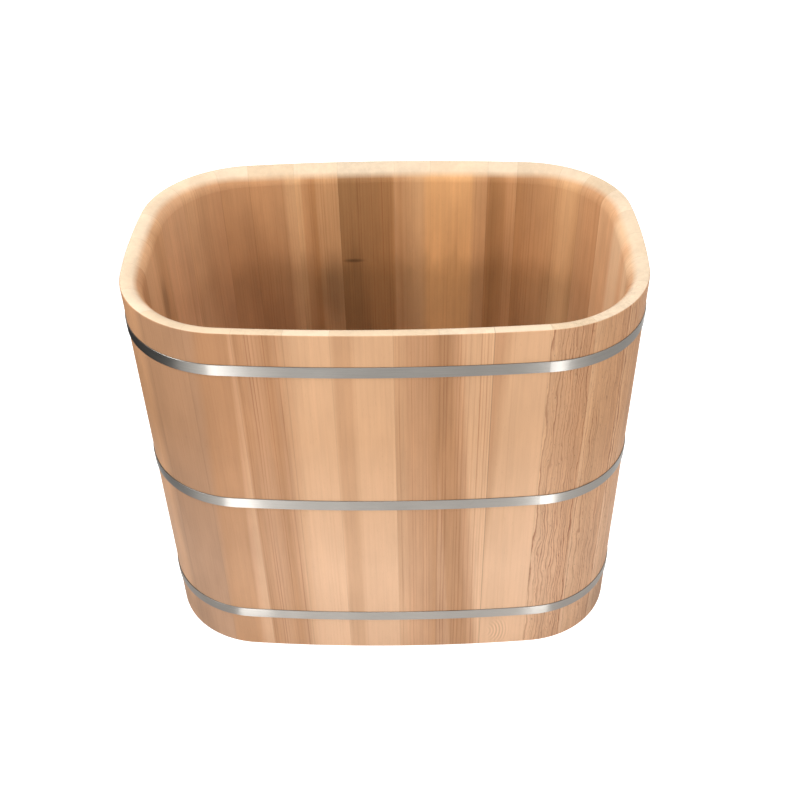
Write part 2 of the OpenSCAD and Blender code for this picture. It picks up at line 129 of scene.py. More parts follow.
# A stave's place: millimetres from its middle across the face, into the wood, and up it
def stavePlace(number):
    low = outline["firstJoint"] + rimFit * sum(outline["widths"][:number - 1])
    high = low + rimFit * outline["widths"][number - 1]
    tops = [outlinePoint(s, 0) for s in (low, high)]
    feet = [outlinePoint(s * footFit, outline["lean"])[0] for s in (low, high)]
    rise = Vector((0, 0, outline["height"]))
    sides = []
    for (top, facing), foot, sign in zip(tops, feet, (1, -1)):
        outward = Vector((math.cos(facing), math.sin(facing), 0))
        normal = outward.cross(top + rise - foot).normalized() * -sign
        sides.append((normal, normal.dot(foot)))
    foot = (feet[0] + feet[1]) / 2
    up = ((tops[0][0] + tops[1][0]) / 2 + rise - foot).normalized()
    across = tops[1][0] - tops[0][0]
    across = (across - up * across.dot(up)).normalized()
    inward = up.cross(across)
    turn = Matrix((across, inward, up)).transposed().to_euler()
    return {"origin": foot / 1000, "turn": turn, "sides": sides, "low": low, "high": high}


print("joints of", len(outline["widths"]), "staves found")


# Sizes are in millimetres. Of a pattern's two sizes the first is across the grain.
wood = {
    "tones": {
        "pale": "#e2b997", "light": "#dfb694", "warm": "#d1a785", "tan": "#cda17f", "mid": "#c89c7a",
        "brown": "#bc8f6b", "russet": "#b28763", "dark": "#a57f5e", "dull": "#b48e72",
        # The last tone is painted light: the paleness that light falling inside the right end gives the
        # wood
        "amber": "#eabb90", "paintedLight": "#eccdae",
    },
    "span": 140,            # width that a board's tones are laid out over
    "level": 0.6,           # part of its height where leaning tones are at their own places
    "ringStretch": 30,      # how much longer a ring's pattern is along the trunk than across
    "spells": (0.31, 1.5),  # how soon growth turns fast or slow, and how many rings that shifts
    "season": [(0, "#4a4a4a"), (0.1, "#000000"), (0.55, "#4a4a4a"), (0.86, "#ffffff"),
               (0.94, "#ffffff"), (1, "#4a4a4a")],  # through a year, white where the wood is darkest
    "faintest": 0.15,       # the weakest year line beside the strongest
    "patch": (30, 300),     # where the year lines fade and return
    "fading": (0.36, 0.62),
    "fibre": (1.3, 60),     # real fibres are under 0.1 mm wide, and these are wide enough to show
    "fibreShade": (0.98, 1.01, 0.05, 0.05),  # darkest and lightest, and what strong lines add
    "streak": (10, 380),
    "streakShade": (0.98, 1.02, 0.09, 0.06),
    "fleck": (1.8, 11),
    "fleckRange": (0.66, 0.74),
    "blotch": (60, 170),
    "seam": 1.3,            # soft edge of the hairline at a joint
    "stainAndShadeDepth": 40,
    "stainAndShadeCore": 0.2,       # part of each oval, real stain and painted shade alike, that is evenly dark
    "relief": 0.2,
    "rough": (0.62, 0.5),   # between the fibres and on them
    "gloss": 0.2,           # specular level, low because no film lies on the wood
    "upper": "#ede3d4",     # what the wood is multiplied by above the middle hoop: painted shade, so that the wood below looks paler, as the floor's bounce light makes it
    "upperShadeRise": (250, 620),  # heights between which that comes in
    "rinsed": "#fffff3",    # the same on the inside: a faint yellow tint
    "insideShade": "#dfdfd1",    # and painted shade, darker, below a wavering line, where the inside falls into shadow
    "insideShadeLine": (620, 715),
    "insideShadeSway": 70,
    "inside": (22, 33),     # depths between which the outside's wood turns into the inside's
    "sanded": ["#d1bda2", "#cdb89b", "#d4c1a7"],  # end grain on the rim and the roll
    "crown": (0.33, 0.7),   # how far up a face looks where end grain begins and where it is full
    "crownSideShade": 0.4,       # and how much of that is lost where it looks along the tub: painted shade on the rolls at the ends, which get less light
}

# A board as sawn, unless its own cut says otherwise. Places along the rim are counted in
# millimetres from the middle of the front, counter-clockwise.
plainCut = {
    "ring": 6,               # spacing of the year rings
    "pith": (420, 60, 400),  # the trunk's middle: far to one side gives straight lines
    "lines": 0.4,            # how dark the lines between the years are
    "steady": 0.3,           # how much of them is left where they fade
    "ink": "#b58a68",        # what a full line multiplies the wood by
    "wander": 3,             # how far the grain strays from side to side
    "swirl": (45, 320),      # over what distances
    "detail": 1.5,           # and how finely
    "lean": 0,               # how far the tones lean between foot and rim
    "flecks": 0.06,          # how dark the small dashes are
    "mottle": 0.055,         # and the broad blotches
    "joints": (0.88, 0.88),  # light left in the joint on either side
    "marks": [],             # stains, and painted shade at the front corners' feet: place along the rim, depth, height, half sizes, light left
    "whorls": [],            # fine rings beside a bud: place along the rim, height, spacing, strength
    "upperShade": 0,             # how much of the painted shade above, of the inside's tint and painted shade, and of the end grain it shows
    "insideTintAndShade": 0,
    "crown": 0,
}
# The rings beside a bud are taller than wide, and show in an oval that begins at it
whorl = {"tall": 1.4, "depth": 60, "beside": 30, "reach": (30, 40, 48), "core": 0.3}
middling = {"From Min": 0.3, "From Max": 0.7}  # a noise's values are mostly between these


# A noise drawn at a pattern's size
def grainNoise(tree, vector, shift, size, detail):
    wide, long = size
    scaled = addNode(tree, "Mapping", {"Location": shift, "Scale": (1 / wide, 1 / wide, 1 / long)},
                     {"Vector": vector})
    return addNode(tree, "TexNoise", {"Scale": 1, "Detail": detail}, {"Vector": scaled.outputs[0]})


# How strong the year lines are: rings counted from the trunk's middle, with years of uneven
# width and strength, that fade and return in patches
def yearLines(tree, board, bent, shift, cut):
    ring = cut["ring"]
    pith = addNode(tree, "Mapping", {
        "vector_type": "TEXTURE", "Location": cut["pith"],
        "Scale": (ring, ring, wood["ringStretch"] * ring)}, {"Vector": bent})
    count = addNode(tree, "VectorMath", {"operation": "LENGTH"}, {0: pith.outputs[0]}).outputs["Value"]
    soon, shifted = wood["spells"]
    spells = addNode(tree, "TexNoise", {"noise_dimensions": "1D", "Scale": soon, "Detail": 1}, {"W": count})
    years = addNode(tree, "Math", {"operation": "MULTIPLY_ADD", 1: shifted},
                    {0: spells.outputs[0], 2: count}).outputs[0]
    season = addNode(tree, "Math", {"operation": "FRACT"}, {0: years})
    year = addNode(tree, "Math", {"operation": "FLOOR"}, {0: years})
    good = addNode(tree, "TexWhiteNoise", {"noise_dimensions": "1D"}, {"W": year.outputs[0]})
    vigour = addNode(tree, "MapRange", {"To Min": wood["faintest"], "To Max": 1},
                     {"Value": good.outputs["Value"]})
    late = addNode(tree, "ValToRGB", {}, {"Fac": season.outputs[0]})
    fillRamp(late.color_ramp, [(part, hexColour(grey)) for part, grey in wood["season"]])
    patches = grainNoise(tree, board, shift, wood["patch"], 2)
    low, high = wood["fading"]
    fade = addNode(tree, "MapRange", {
        "From Min": low, "From Max": high, "To Min": cut["steady"] * cut["lines"], "To Max": cut["lines"]},
        {"Value": patches.outputs[0]})
    strong = addNode(tree, "Math", {"operation": "MULTIPLY"}, {0: vigour.outputs[0], 1: fade.outputs[0]})
    lines = addNode(tree, "Math", {"operation": "MULTIPLY"}, {0: strong.outputs[0], 1: late.outputs[0]})
    return lines.outputs[0]


# The light left by each real stain and by each patch of painted shade, a soft oval
def stainAndShadeOvals(tree, bent, middle, cut):
    shades = []
    for s, depth, height, wide, high, left in cut["marks"]:
        mark = addNode(tree, "Mapping", {
            "vector_type": "TEXTURE", "Location": (s - middle, depth, height),
            "Scale": (wide, wood["stainAndShadeDepth"], high)}, {"Vector": bent})
        away = addNode(tree, "VectorMath", {"operation": "LENGTH"}, {0: mark.outputs[0]})
        shades.append(addNode(tree, "MapRange", {
            "interpolation_type": "SMOOTHSTEP", "From Min": wood["stainAndShadeCore"],
            "To Min": left, "To Max": 1}, {"Value": away.outputs["Value"]}))
    return shades


# The light that the rings beside a bud leave: a sine's waves round it, seen in an oval
def whorlShades(tree, bent, middle, cut):
    shades = []
    for s, height, spacing, strength in cut["whorls"]:
        turn = spacing / math.tau
        bud = addNode(tree, "Mapping", {
            "vector_type": "TEXTURE", "Location": (s - middle, 0, height),
            "Scale": (turn, whorl["depth"], whorl["tall"] * turn)}, {"Vector": bent})
        turns = addNode(tree, "VectorMath", {"operation": "LENGTH"}, {0: bud.outputs[0]})
        wave = addNode(tree, "Math", {"operation": "SINE"}, {0: turns.outputs["Value"]})
        oval = addNode(tree, "Mapping", {
            "vector_type": "TEXTURE", "Location": (s + whorl["beside"] - middle, 0, height),
            "Scale": whorl["reach"]}, {"Vector": bent})
        away = addNode(tree, "VectorMath", {"operation": "LENGTH"}, {0: oval.outputs[0]})
        near = addNode(tree, "MapRange", {
            "interpolation_type": "SMOOTHSTEP", "From Min": whorl["core"],
            "To Min": strength, "To Max": 0}, {"Value": away.outputs["Value"]})
        shades.append(addNode(tree, "Math", {"operation": "MULTIPLY_ADD", 2: 1},
                              {0: wave.outputs[0], 1: near.outputs[0]}))
    return shades


# Painted shade above the middle hoop leaves the lower wood paler, as the floor's bounce light makes it. The
# inside gets a faint yellow tint, and painted shade lower down, where it falls into shadow
def shadeAndTint(tree, board, figure, blotches, cut):
    part = addNode(tree, "SeparateXYZ", {}, {0: board})
    # Painted shade: the wood above the middle hoop is darkened, so that the wood below looks paler, as the
    # floor's bounce light makes it
    low, high = wood["upperShadeRise"]
    upper = addNode(tree, "MapRange", {"From Min": low, "From Max": high, "To Max": cut["upperShade"]},
                    {"Value": part.outputs["Z"]})
    upperShade = addNode(tree, "Mix", {
        "data_type": "RGBA", "blend_type": "MULTIPLY", 7: hexColour(wood["upper"])},
        {0: upper.outputs[0], 6: figure.outputs[0]})
    low, high = wood["inside"]
    inner = addNode(tree, "MapRange", {"From Min": low, "From Max": high, "To Max": cut["insideTintAndShade"]},
                    {"Value": part.outputs["Y"]})
    # Painted shade: below a line that wavers with the blotches the inside is darkened, as it falls into
    # shadow lower down
    level = addNode(tree, "Math", {"operation": "MULTIPLY_ADD", 1: wood["insideShadeSway"]},
                    {0: blotches.outputs[0], 2: part.outputs["Z"]})
    low, high = wood["insideShadeLine"]
    aboveShadeLine = addNode(tree, "MapRange", {"interpolation_type": "SMOOTHSTEP", "From Min": low, "From Max": high},
                  {"Value": level.outputs[0]})
    insideColour = addNode(tree, "Mix", {
        "data_type": "RGBA", 6: hexColour(wood["insideShade"]), 7: hexColour(wood["rinsed"])},
        {0: aboveShadeLine.outputs[0]})
    shadedAndTinted = addNode(tree, "Mix", {"data_type": "RGBA", "blend_type": "MULTIPLY"},
                   {0: inner.outputs[0], 6: upperShade.outputs[2], 7: insideColour.outputs[2]})
    return shadedAndTinted.outputs[2]


# Softwood such as hinoki, planed and left without a finish: even satin, fine fibres along the
# board, darker lines where a year's growth ends, and a paler, denser look on the end grain
def boardWood(name, cut, place, seed):
    cut = {**plainCut, **cut}
    dice = random.Random(seed)
    shift = [(dice.uniform(-50, 50), dice.uniform(-50, 50), dice.uniform(-50, 50)) for _ in range(6)]
    middle = (place["low"] + place["high"]) / 2
    material, tree, shader = startMaterial(name, {"Specular IOR Level": wood["gloss"]})
    coords = addNode(tree, "TexCoord", {}, {})
    # The board's own millimetres: across it, into it and along it
    board = addNode(tree, "Mapping", {
        "vector_type": "TEXTURE", "Location": place["origin"], "Rotation": place["turn"],
        "Scale": (0.001, 0.001, 0.001)}, {"Vector": coords.outputs["Object"]}).outputs[0]

    # The grain wanders slowly from side to side on its way up
    wander = cut["wander"]
    sway = grainNoise(tree, board, shift[0], cut["swirl"], cut["detail"])
    push = addNode(tree, "VectorMath", {
        "operation": "MULTIPLY_ADD", 1: (2 * wander, 2 * wander, 0), 2: (-wander, -wander, 0)},
        {0: sway.outputs["Color"]})
    bent = addNode(tree, "VectorMath", {"operation": "ADD"}, {0: board, 1: push.outputs[0]}).outputs[0]
    lines = yearLines(tree, board, bent, shift[1], cut)

    # Broad tones across the board, as it was cut through heartwood and sapwood
    span, lean = wood["span"], cut["lean"]
    across = addNode(tree, "VectorMath", {
        "operation": "DOT_PRODUCT", 1: (1 / span, 0, lean / outline["height"] / span)}, {0: bent})
    zone = addNode(tree, "Math", {"operation": "ADD", 1: 0.5 - lean / span * wood["level"]},
                   {0: across.outputs["Value"]})
    broad = addNode(tree, "ValToRGB", {}, {"Fac": zone.outputs[0]})
    fillRamp(broad.color_ramp, [((s - middle) / span + 0.5, hexColour(wood["tones"][tone]))
                                for s, tone in cut["tones"]])
    lined = addNode(tree, "Mix", {"data_type": "RGBA", "blend_type": "MULTIPLY", 7: hexColour(cut["ink"])},
                    {0: lines, 6: broad.outputs[0]}).outputs[2]

    # Fibres and streaks, clearer on a board with strong year lines, blotches and small dashes
    fibres = grainNoise(tree, bent, shift[2], wood["fibre"], 3)
    low, high, darker, lighter = wood["fibreShade"]
    fine = addNode(tree, "MapRange", {
        **middling, "To Min": low - darker * cut["lines"], "To Max": high + lighter * cut["lines"]},
        {"Value": fibres.outputs[0]})
    streaks = grainNoise(tree, bent, shift[3], wood["streak"], 2)
    low, high, darker, lighter = wood["streakShade"]
    coarse = addNode(tree, "MapRange", {
        **middling, "To Min": low - darker * cut["lines"], "To Max": high + lighter * cut["lines"]},
        {"Value": streaks.outputs[0]})
    blotches = grainNoise(tree, board, shift[4], wood["blotch"], 4)
    soft = addNode(tree, "MapRange", {**middling, "To Min": 1 - cut["mottle"], "To Max": 1 + cut["mottle"]},
                   {"Value": blotches.outputs[0]})
    flecks = grainNoise(tree, bent, shift[5], wood["fleck"], 1)
    low, high = wood["fleckRange"]
    dash = addNode(tree, "MapRange", {
        "From Min": low, "From Max": high, "To Min": 1, "To Max": 1 - cut["flecks"]},
        {"Value": flecks.outputs[0]})
    shade = fine.outputs[0]
    stainsAndShade = stainAndShadeOvals(tree, bent, middle, cut)
    whorls = whorlShades(tree, bent, middle, cut)
    for part in (coarse, soft, dash, *stainsAndShade, *whorls):
        shade = addNode(tree, "Math", {"operation": "MULTIPLY"}, {0: shade, 1: part.outputs[0]}).outputs[0]
    figure = addNode(tree, "VectorMath", {"operation": "SCALE"}, {0: lined, "Scale": shade})
    shadedAndTinted = shadeAndTint(tree, board, figure, blotches, cut)

    # A stave's end grain shows on top of the rim and over the roll, sanded pale, further down the roll on
    # the long sides than on the ends. Less of it on the ends is painted shade, as the rolls there get less
    # light.
    faces = addNode(tree, "SeparateXYZ", {}, {0: coords.outputs["Normal"]})
    sideways = addNode(tree, "Math", {"operation": "ABSOLUTE"}, {0: faces.outputs["X"]})
    facing = addNode(tree, "Math", {"operation": "MULTIPLY_ADD", 1: -wood["crownSideShade"]},
                     {0: sideways.outputs[0], 2: faces.outputs["Z"]})
    low, high = wood["crown"]
    endGrain = addNode(tree, "MapRange", {"From Min": low, "From Max": high, "To Max": cut["crown"]},
                       {"Value": facing.outputs[0]})
    sanded = hexColour(dice.choice(wood["sanded"]))[:3]
    ends = addNode(tree, "VectorMath", {"operation": "SCALE", 0: sanded}, {"Scale": shade})
    colour = addNode(tree, "Mix", {"data_type": "RGBA"},
                     {0: endGrain.outputs[0], 6: shadedAndTinted, 7: ends.outputs[0]}).outputs[2]

    # A hairline where the board meets the next one
    for (normal, reach), dark in zip(place["sides"], cut["joints"]):
        depth = addNode(tree, "VectorMath", {"operation": "DOT_PRODUCT", 1: normal},
                        {0: coords.outputs["Object"]})
        hairline = addNode(tree, "MapRange", {
            "From Min": reach / 1000, "From Max": (reach + wood["seam"]) / 1000,
            "To Min": dark, "To Max": 1}, {"Value": depth.outputs["Value"]})
        colour = addNode(tree, "VectorMath", {"operation": "SCALE"},
                         {0: colour, "Scale": hairline.outputs[0]}).outputs[0]
    between, on = wood["rough"]
    rough = addNode(tree, "MapRange", {**middling, "To Min": between, "To Max": on},
                    {"Value": fibres.outputs[0]})
    relief = addNode(tree, "Math", {"operation": "SUBTRACT"}, {0: fibres.outputs[0], 1: lines})
    bump = addNode(tree, "Bump", {"Strength": 0.25, "Distance": wood["relief"] / 1000},
                   {"Height": relief.outputs[0]})
    tree.links.new(colour, shader.inputs["Base Color"])
    tree.links.new(rough.outputs[0], shader.inputs["Roughness"])
    tree.links.new(bump.outputs[0], shader.inputs["Normal"])
    return material


# Painted shade low on the two front corners, where less light reaches the foot
leftFootShade = (2512, 0, 45, 130, 75, 0.72)
rightFootShade = (555, 0, 45, 130, 75, 0.72)

# How each stave was cut. What isn't named here is drawn at random or is as in plainCut.
staveCuts = {
    1: {"tones": [(-377, "dull"), (-350, "brown"), (-312, "brown"), (-303, "brown"), (-294, "tan"),
                  (-284, "warm")], "ring": 9, "lines": 0.12, "lean": -24, "mottle": 0.08},
    2: {"tones": [(-282, "tan"), (-276, "brown"), (-245, "mid"), (-215, "brown"), (-200, "mid"),
                  (-188, "warm")], "ring": 7, "lines": 0.6},
    3: {"tones": [(-185, "warm"), (-160, "light"), (-130, "pale"), (-100, "pale")], "ring": 9,
        "lines": 0.12, "upperShade": 0.9},
    4: {"tones": [(-98, "light"), (-88, "warm"), (-66, "warm"), (-50, "light"), (0, "light"),
                  (18, "light")], "ring": 11, "lines": 0.12, "upperShade": 0.9},
    5: {"tones": [(20, "warm"), (34, "warm"), (50, "tan"), (78, "mid"), (104, "brown")], "ring": 7,
        "lines": 0.45, "upperShade": 0.9},
    6: {"tones": [(105, "mid"), (112, "brown"), (140, "brown"), (157, "mid"), (175, "light"),
                  (205, "light")],
        "ring": 8, "lines": 0.7, "lean": 50, "upperShade": 0.9, "joints": (0.88, 0.6)},
    7: {"tones": [(208, "tan"), (214, "warm"), (232, "light"), (308, "light")], "ring": 11, "lines": 0.12,
        "lean": -45, "upperShade": 0.9, "joints": (0.6, 0.88), "whorls": [(222, 43, 7, 0.16)]},
    8: {"marks": [rightFootShade]},
    9: {"lines": 0.85, "steady": 0.25, "marks": [rightFootShade]},
    10: {"lines": 0.85, "steady": 0.25, "marks": [rightFootShade]},
    # Painted light: inside the right end the wood is drawn paler, as the light falling there makes it
    11: {"tones": [(590, "warm"), (685, "paintedLight")], "insideTintAndShade": 0},
    12: {"tones": [(685, "paintedLight"), (730, "pale"), (780, "paintedLight")], "insideTintAndShade": 0},
    13: {"tones": [(780, "paintedLight"), (840, "paintedLight"), (875, "pale")], "insideTintAndShade": 0},
    14: {"tones": [(875, "pale"), (930, "light"), (968, "pale")], "insideTintAndShade": 0.3},
    15: {"tones": [(968, "tan"), (1010, "tan"), (1053, "warm")], "insideTintAndShade": 0.6},
    16: {"tones": [(1053, "warm"), (1090, "light"), (1128, "warm")]},
    17: {"tones": [(1128, "warm"), (1165, "tan"), (1185, "mid"), (1236, "brown")]},
    18: {"tones": [(1236, "tan"), (1256, "mid"), (1264, "brown"), (1290, "russet"), (1303, "brown")]},
    19: {"tones": [(1303, "tan"), (1328, "warm"), (1345, "amber"), (1435, "amber")], "lines": 0.2},
    20: {"tones": [(1435, "amber"), (1460, "light"), (1495, "warm"), (1503, "mid"), (1518, "warm")],
         "lines": 0.2},
    21: {"tones": [(1518, "mid"), (1526, "russet"), (1640, "dark")], "lines": 0.5,
         "marks": [(1618, 42, 640, 34, 7, 0.5)]},
    22: {"tones": [(1648, "warm"), (1695, "warm"), (1705, "brown"), (1730, "tan"), (1737, "pale"),
                   (1748, "pale")], "marks": [(1670, 42, 560, 45, 140, 0.68)]},
    23: {"tones": [(1748, "pale"), (1762, "light"), (1780, "tan"), (1853, "mid")], "insideTintAndShade": 0.8},
    24: {"tones": [(1853, "mid"), (1900, "tan"), (1933, "tan")], "insideTintAndShade": 0.7},
    25: {"tones": [(1933, "tan"), (1985, "warm"), (2020, "light"), (2055, "light")], "insideTintAndShade": 0.35},
    26: {"tones": [(2055, "light"), (2110, "pale"), (2183, "light")], "insideTintAndShade": 0.1},
    27: {"tones": [(2183, "light"), (2230, "warm"), (2285, "light")], "insideTintAndShade": 0.4,
         "marks": [(2255, 42, 690, 38, 90, 0.66)]},
    28: {"tones": [(2285, "light"), (2330, "pale"), (2386, "light")], "insideTintAndShade": 0.3},
    29: {"tones": [(2386, "tan"), (2440, "mid"), (2487, "tan")], "insideTintAndShade": 0.3, "marks": [leftFootShade]},
    30: {"tones": [(2487, "tan"), (2550, "tan"), (2588, "dull")], "insideTintAndShade": 0.5, "lines": 0.12,
         "mottle": 0.08, "marks": [leftFootShade]},
    31: {"tones": [(2588, "dull"), (2690, "dull")], "lines": 0.12, "mottle": 0.08, "marks": [leftFootShade]},
}
# Sawn flat, through the trunk's edge: fine lines that waver, run together and part again
flatSawn = {
    "staves": (8, 9, 10), "tones": [(0, "light"), (20, "warm"), (90, "tan")],  # from the stave's edge
    "cut": {"ring": 5.5, "wander": 11, "swirl": (20, 90), "detail": 3, "lines": 1, "ink": "#986844",
            "flecks": 0.35, "steady": 0.45},
}
randomCut = {
    "seed": 31, "ring": (6, 10), "lines": (0.15, 0.35), "tones": ["light", "warm", "tan", "mid"],
    "otherPith": (-420, 40, 500), "crown": 0.85,
    "insideSeen": (14, 26),  # the first and last stave whose inner face is seen from the front
    "hiddenInsideTintAndShade": 0.2,     # how much of the inside's tint and painted shade shows on those before it
    "seenMottle": 0.09,
}
choice = random.Random(randomCut["seed"])
firstSeen, lastSeen = randomCut["insideSeen"]
for number in range(1, len(outline["widths"]) + 1):
    place = stavePlace(number)
    cut = {"ring": choice.uniform(*randomCut["ring"]), "lines": choice.uniform(*randomCut["lines"]),
           "upperShade": 1, "insideTintAndShade": 1, "crown": randomCut["crown"]}
    wide = place["high"] - place["low"]
    cut["tones"] = [(place["low"] + wide * part, choice.choice(randomCut["tones"]))
                    for part in (0, 0.35, 0.7, 1)]
    if choice.random() < 0.5:
        cut["pith"] = randomCut["otherPith"]
    if number < firstSeen:
        cut["insideTintAndShade"] = randomCut["hiddenInsideTintAndShade"]
    elif number <= lastSeen:
        cut["mottle"] = randomCut["seenMottle"]
    if number in flatSawn["staves"]:
        cut.update(flatSawn["cut"])
        cut["tones"] = [(place["low"] + s, tone) for s, tone in flatSawn["tones"]]
    cut.update(staveCuts.get(number, {}))
    node = "stave_%02d" % number
    dress(node, boardWood("planed hinoki " + node[-2:], cut, place, number))
print("staves dressed")

# Floor boards lie along the tub, so their grain runs along X, and the bearers' runs along Y.
# The tones reach half to either side of the middle, in millimetres, and start is the end
# that the grain is counted from, in metres.
boards = {
    "count": 5, "half": 60, "start": -0.5, "seed": 40, "edges": (["light", "mid"], ["mid", "brown"]),
    "cut": {"ring": 6, "lines": 0.6, "mottle": 0.09, "joints": (0.6, 0.6)},
}
for number in range(1, boards["count"] + 1):
    low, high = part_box("floor_board_%d" % number)
    middle = (low + high) / 2
    place = {"origin": Vector((boards["start"], middle.y, high.z)),
             "turn": Euler((math.pi / 2, 0, math.pi / 2)),
             "sides": [(Vector((0, 1, 0)), low.y * 1000), (Vector((0, -1, 0)), -high.y * 1000)],
             "low": -boards["half"], "high": boards["half"]}
    edges = [choice.choice(tones) for tones in boards["edges"]]
    tones = [(-boards["half"], edges[0]), (0, "warm"), (boards["half"], edges[1])]
    material = boardWood("planed floor hinoki %d" % number, {**boards["cut"], "tones": tones}, place,
                         boards["seed"] + number)
    dress("floor_board_%d" % number, material)

bearers = {
    "nodes": ("bearer_left", "bearer_middle", "bearer_right"), "half": 30, "start": -0.5, "seed": 50,
    "cut": {"tones": [(-30, "mid"), (0, "warm"), (30, "brown")], "ring": 7, "lines": 0.9},
}
for number, node in enumerate(bearers["nodes"]):
    low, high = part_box(node)
    middle = (low + high) / 2
    place = {"origin": Vector((middle.x, bearers["start"], high.z)), "turn": Euler((-math.pi / 2, 0, 0)),
             "sides": [], "low": -bearers["half"], "high": bearers["half"]}
    material = boardWood("sawn hinoki bearer %d" % (number + 1), bearers["cut"], place,
                         bearers["seed"] + number)
    dress(node, material)
print("floor dressed")


# Stainless strip, brushed along its length: a soft shine that spreads up and down. Real brush
# marks are under 0.1 mm wide, and these are 0.4 mm, so that they show.
hoopFinish = {
    "colours": ("#888581", "#999691"),
    "roughness": (0.29, 0.4),
    "anisotropy": {"Anisotropic": 0.8, "Anisotropic Rotation": 0.25},
    "marks": (12, 12, 2500),  # to the metre, along X, Y and Z: 83 mm long and 0.4 mm wide
    "clouds": 9,              # to the metre
    "cloudShade": (0.94, 1.04),
    "relief": 0.03,           # millimetres
}


def brushedSteel(name, finish):
    material, tree, shader = startMaterial(name, {"Metallic": 1, **finish["anisotropy"]})
    coords = addNode(tree, "TexCoord", {}, {})
    brush = addNode(tree, "Mapping", {"Scale": finish["marks"]}, {"Vector": coords.outputs["Object"]})
    brushNoise = addNode(tree, "TexNoise", {"Scale": 1, "Detail": 3}, {"Vector": brush.outputs[0]})
    stain = addNode(tree, "TexNoise", {"Scale": finish["clouds"], "Detail": 3},
                    {"Vector": coords.outputs["Object"]})
    tint = addNode(tree, "ValToRGB", {}, {"Fac": brushNoise.outputs[0]})
    low, high = finish["colours"]
    fillRamp(tint.color_ramp, [(0.25, hexColour(low)), (0.75, hexColour(high))], "LINEAR")
    low, high = finish["cloudShade"]
    cloud = addNode(tree, "MapRange", {**middling, "To Min": low, "To Max": high},
                    {"Value": stain.outputs[0]})
    steel = addNode(tree, "VectorMath", {"operation": "SCALE"},
                    {0: tint.outputs[0], "Scale": cloud.outputs[0]})
    low, high = finish["roughness"]
    rough = addNode(tree, "MapRange", {**middling, "To Min": low, "To Max": high},
                    {"Value": brushNoise.outputs[0]})
    bump = addNode(tree, "Bump", {"Strength": 0.15, "Distance": finish["relief"] / 1000},
                   {"Height": brushNoise.outputs[0]})
    tangent = addNode(tree, "Tangent", {"direction_type": "RADIAL", "axis": "Z"}, {})
    tree.links.new(steel.outputs[0], shader.inputs["Base Color"])
    tree.links.new(rough.outputs[0], shader.inputs["Roughness"])
    tree.links.new(bump.outputs[0], shader.inputs["Normal"])
    tree.links.new(tangent.outputs[0], shader.inputs["Tangent"])
    return material


hoopSteel = brushedSteel("brushed stainless strip", hoopFinish)
for node in ("hoop_top", "hoop_middle", "hoop_bottom"):
    dress(node, hoopSteel)

# Grain and relief are in millimetres. A real grain is finer, and these are made to show.
fittings = {
    # Rolled and pressed, not brushed: light grey with a dull, slightly uneven shine
    "pressed stainless": {
        "colours": ("#bdbbb7", "#cbc9c5"), "metal": 1, "rough": (0.26, 0.4), "grain": 1.5, "relief": 0.02,
        "nodes": ("hoop_rivets", "bearer_screws")},
    # Nearly a mirror, with faint wiping marks
    "polished chrome plate": {
        "colours": ("#d2d4d6", "#e0e1e2"), "metal": 1, "rough": (0.05, 0.12), "grain": 4, "relief": 0.01,
        "nodes": ("drain_body", "drain_tail_pipe", "drain_coupling_nut", "stopper_cap", "stopper_knob")},
    # Yellow, as it left the lathe, with a satin shine
    "turned brass": {
        "colours": ("#b8934c", "#cdab62"), "metal": 1, "rough": (0.22, 0.36), "grain": 0.8, "relief": 0.02,
        "nodes": ("drain_locknut", "stopper_post")},
    # Matt and almost black, with a little dust
    "moulded black rubber": {
        "colours": ("#191919", "#262525"), "metal": 0, "rough": (0.55, 0.7), "grain": 0.7, "relief": 0.04,
        "nodes": ("drain_gasket", "drain_washer", "drain_slip_ring", "stopper_seal")},
    # Dry and fuzzy, like thick card
    "pressed grey fibre": {
        "colours": ("#7d776c", "#938c7f"), "metal": 0, "rough": (0.75, 0.9), "grain": 0.5, "relief": 0.05,
        "nodes": ("drain_fibre_ring",)},
}


# A small part's finish: a little uneven in colour and shine, as it is after some use. The
# patches of colour are about 17 mm wide.
def fittingFinish(name, finish):
    material, tree, shader = startMaterial(name, {"Metallic": finish["metal"]})
    coords = addNode(tree, "TexCoord", {}, {})
    grain = addNode(tree, "TexNoise", {"Scale": 1000 / finish["grain"], "Detail": 3},
                    {"Vector": coords.outputs["Object"]})
    cloud = addNode(tree, "TexNoise", {"Scale": 60, "Detail": 2}, {"Vector": coords.outputs["Object"]})
    tint = addNode(tree, "ValToRGB", {}, {"Fac": cloud.outputs[0]})
    low, high = finish["colours"]
    fillRamp(tint.color_ramp, [(0.3, hexColour(low)), (0.7, hexColour(high))], "LINEAR")
    low, high = finish["rough"]
    rough = addNode(tree, "MapRange", {**middling, "To Min": low, "To Max": high},
                    {"Value": grain.outputs[0]})
    bump = addNode(tree, "Bump", {"Strength": 0.2, "Distance": finish["relief"] / 1000},
                   {"Height": grain.outputs[0]})
    tree.links.new(tint.outputs[0], shader.inputs["Base Color"])
    tree.links.new(rough.outputs[0], shader.inputs["Roughness"])
    tree.links.new(bump.outputs[0], shader.inputs["Normal"])
    return material


for name, finish in fittings.items():
    material = fittingFinish(name, finish)
    for node in finish["nodes"]:
        dress(node, material)
print("metal dressed")


